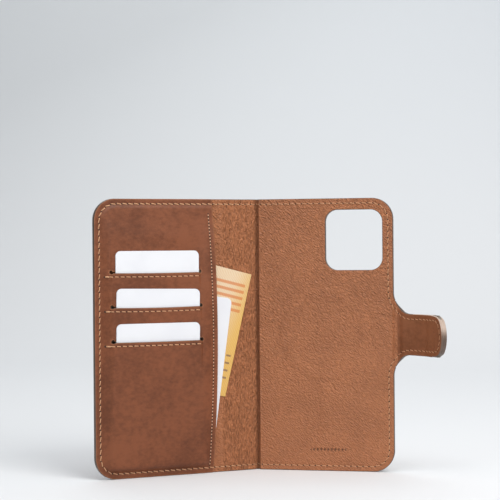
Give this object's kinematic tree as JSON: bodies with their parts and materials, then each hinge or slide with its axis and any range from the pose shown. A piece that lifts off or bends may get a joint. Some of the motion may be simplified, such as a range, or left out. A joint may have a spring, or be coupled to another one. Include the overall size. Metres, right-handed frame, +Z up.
{
  "type": "phone wallet case",
  "caption": "Leather folio case with a magnetic phone panel, camera window, wrap-over clasp strap, card slits and a cash pocket, standing open.",
  "frame": {"origin": "middle of the back panel's lower edge, half way through the panel's thickness", "axes": "+Z up the fold lines; -Y is the way the back panel's phone side faces; +X from the spine towards the clasp"},
  "size_m": [0.2065, 0.0697, 0.167],
  "materials": {
    "outer_leather": "smooth waxed brown leather with painted dark edges",
    "lining_leather": "pebbled tan leather",
    "pocket_leather": "smooth pull-up leather, worn",
    "strap_facing": "smooth dark brown leather",
    "board": "pressed board",
    "magnet": "nickel-plated magnet",
    "steel_plate": "thin steel plate",
    "thread": "waxed tan thread",
    "pocket_cloth": "thin woven pocketing",
    "blank_card": "blank satin white card",
    "note_paper": "printed paper with a plain ring pattern"
  },
  "bodies": {
    "back_panel": {"back_outer_leather": "outer_leather", "back_board": "board", "back_lining": "lining_leather", "magnet_ring": "magnet", "alignment_magnet": "magnet", "back_seam_thread": "thread"},
    "clasp_bridge": {"clasp_bridge_leather": "outer_leather", "clasp_bridge_facing": "strap_facing", "clasp_bridge_thread": "thread", "clasp_root_fold": "outer_leather"},
    "clasp_tip": {"clasp_tip_leather": "outer_leather", "clasp_tip_facing": "strap_facing", "clasp_tip_thread": "thread", "clasp_filler": "board", "clasp_magnets": "magnet", "clasp_tip_fold": "outer_leather"},
    "spine": {"spine_outer_leather": "outer_leather", "spine_lining": "lining_leather", "spine_seam_thread": "thread", "back_fold_leather": "lining_leather", "cover_fold_leather": "lining_leather"},
    "front_cover": {"front_outer_leather": "outer_leather", "front_board": "board", "front_lining": "lining_leather", "clasp_catch_plate": "steel_plate", "pocket_panel": "pocket_leather", "card_pocket_liner": "pocket_cloth", "front_seam_thread": "thread", "pocket_mouth_thread": "thread", "upper_slot_thread": "thread", "middle_slot_thread": "thread", "lower_slot_thread": "thread", "cash_card": "blank_card", "banknote": "note_paper"},
    "card_upper": {"card_upper": "blank_card"},
    "card_middle": {"card_middle": "blank_card"},
    "card_lower": {"card_lower": "blank_card"}
  },
  "joints": [
    {"name": "spine_fold", "type": "hinge", "parent": "back_panel", "child": "spine", "pos_m": [-0.0432, 0.00075, 0], "axis": [0, 0, 1], "range_deg": [-128.5, 51.5]},
    {"name": "cover_fold", "type": "hinge", "parent": "spine", "child": "front_cover", "pos_m": [-0.06237, -0.0145, 0], "axis": [0, 0, 1], "range_deg": [-90, 90], "deforming": ["cash_card", "banknote"]},
    {"name": "clasp_root", "type": "hinge", "parent": "back_panel", "child": "clasp_bridge", "pos_m": [0.0432, 0.0006, 0.0839], "axis": [0, 0, -1], "range_deg": [-120, 50]},
    {"name": "clasp_wrap", "type": "hinge", "parent": "clasp_bridge", "child": "clasp_tip", "pos_m": [0.06574, -0.0182, 0.0839], "axis": [0, 0, -1], "range_deg": [-60, 74]},
    {"name": "card_upper_slide", "type": "slide", "parent": "front_cover", "child": "card_upper", "axis": [0.0035, -0.0044, 1], "range_m": [0, 0.07]},
    {"name": "card_middle_slide", "type": "slide", "parent": "front_cover", "child": "card_middle", "axis": [0.0264, -0.0051, 0.9996], "range_m": [0, 0.07]},
    {"name": "card_lower_slide", "type": "slide", "parent": "front_cover", "child": "card_lower", "axis": [0.0215, -0.027, 0.9994], "range_m": [0, 0.07]}
  ]
}
